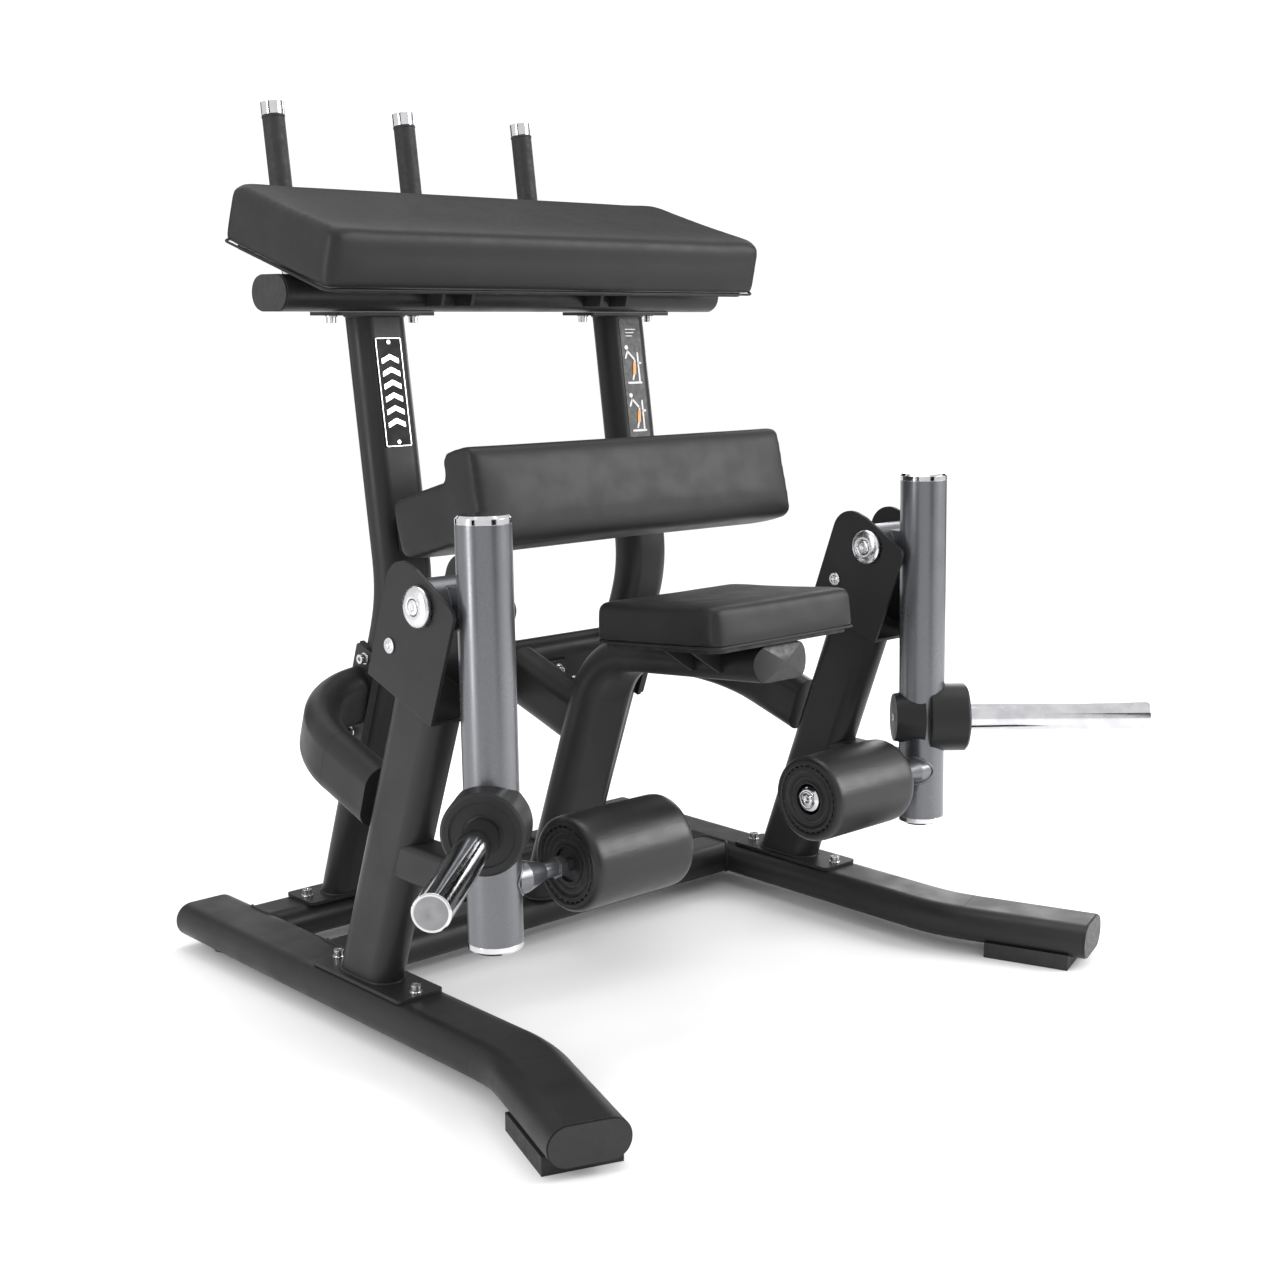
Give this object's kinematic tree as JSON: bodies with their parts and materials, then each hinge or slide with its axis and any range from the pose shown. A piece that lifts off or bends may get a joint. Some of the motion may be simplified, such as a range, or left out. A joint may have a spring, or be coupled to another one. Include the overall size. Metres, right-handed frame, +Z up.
{
  "type": "plate-loaded kneeling leg curl machine",
  "caption": "Free-standing leg curl machine with padded chest, thigh and knee rests, upright hand grips, and two swinging arms that carry ankle rollers and weight horns.",
  "frame": {"origin": "on the floor, at the centre of the machine's outline seen from above", "axes": "+Z up, +X toward the machine's right side as its user sees it, +Y the way the user faces, from the weight arms toward the hand grips"},
  "size_m": [1.6066, 1.2053, 1.4648],
  "materials": {
    "frame_paint": "satin charcoal powder coat",
    "arm_paint": "silver metallic",
    "bright": "polished",
    "bolt": "bright",
    "cushion": "smooth upholstery vinyl",
    "roller_skin": "grained upholstery vinyl",
    "board": "black",
    "rubber": "matte",
    "plastic": "matte",
    "plate": "gloss"
  },
  "bodies": {
    "frame": {"left_rail": "frame_paint", "right_rail": "frame_paint", "rail_end_caps": "plastic", "front_feet": "rubber", "rear_feet": "rubber", "front_cross_tube": "frame_paint", "rear_cross_tube": "frame_paint", "left_post": "frame_paint", "right_post": "frame_paint", "left_clevis": "frame_paint", "right_clevis": "frame_paint", "left_upright": "frame_paint", "right_upright": "frame_paint", "crossbar": "frame_paint", "left_side_brace": "frame_paint", "right_side_brace": "frame_paint", "centre_brace": "frame_paint", "seat_leg": "frame_paint", "seat_leg_cap": "plastic", "seat_gussets": "frame_paint", "frame_bolts": "bolt", "flange_bolts": "bolt", "stop_stubs": "frame_paint", "stop_bumpers": "rubber", "knee_board": "board", "knee_pad": "cushion", "thigh_brackets": "frame_paint", "thigh_board": "board", "thigh_pad": "cushion", "chest_beam": "frame_paint", "chest_beam_caps": "plastic", "chest_gussets": "frame_paint", "chest_board": "board", "chest_pad": "cushion", "handle_tubes": "bright", "handle_grips": "rubber", "handle_caps": "bright", "name_plate": "plate", "name_plate_screws": "bolt", "guide_plate": "plate", "pivot_bolts": "bolt", "clevis_screws": "bolt"},
    "left_arm": {"left_arm": "arm_paint", "left_arm_caps": "bright", "left_horn_hub": "frame_paint", "left_horn": "bright", "left_roller_shaft": "bright"},
    "right_arm": {"right_arm": "arm_paint", "right_arm_caps": "bright", "right_horn_hub": "frame_paint", "right_horn": "bright", "right_roller_shaft": "bright"},
    "left_roller": {"left_roller_core": "plastic", "left_roller_pad": "roller_skin"},
    "right_roller": {"right_roller_core": "plastic", "right_roller_pad": "roller_skin"}
  },
  "joints": [
    {"name": "left_arm_swing", "type": "hinge", "parent": "frame", "child": "left_arm", "pos_m": [-0.484, -0.18615, 0.69868], "axis": [-1, 0, 0], "range_deg": [0, 110]},
    {"name": "right_arm_swing", "type": "hinge", "parent": "frame", "child": "right_arm", "pos_m": [0.484, -0.18615, 0.69868], "axis": [-1, 0, 0], "range_deg": [0, 110]},
    {"name": "left_roller_spin", "type": "hinge", "parent": "left_arm", "child": "left_roller", "pos_m": [-0.2635, -0.28685, 0.308], "axis": [1, 0, 0], "continuous": true},
    {"name": "right_roller_spin", "type": "hinge", "parent": "right_arm", "child": "right_roller", "pos_m": [0.2635, -0.28685, 0.308], "axis": [1, 0, 0], "continuous": true}
  ]
}
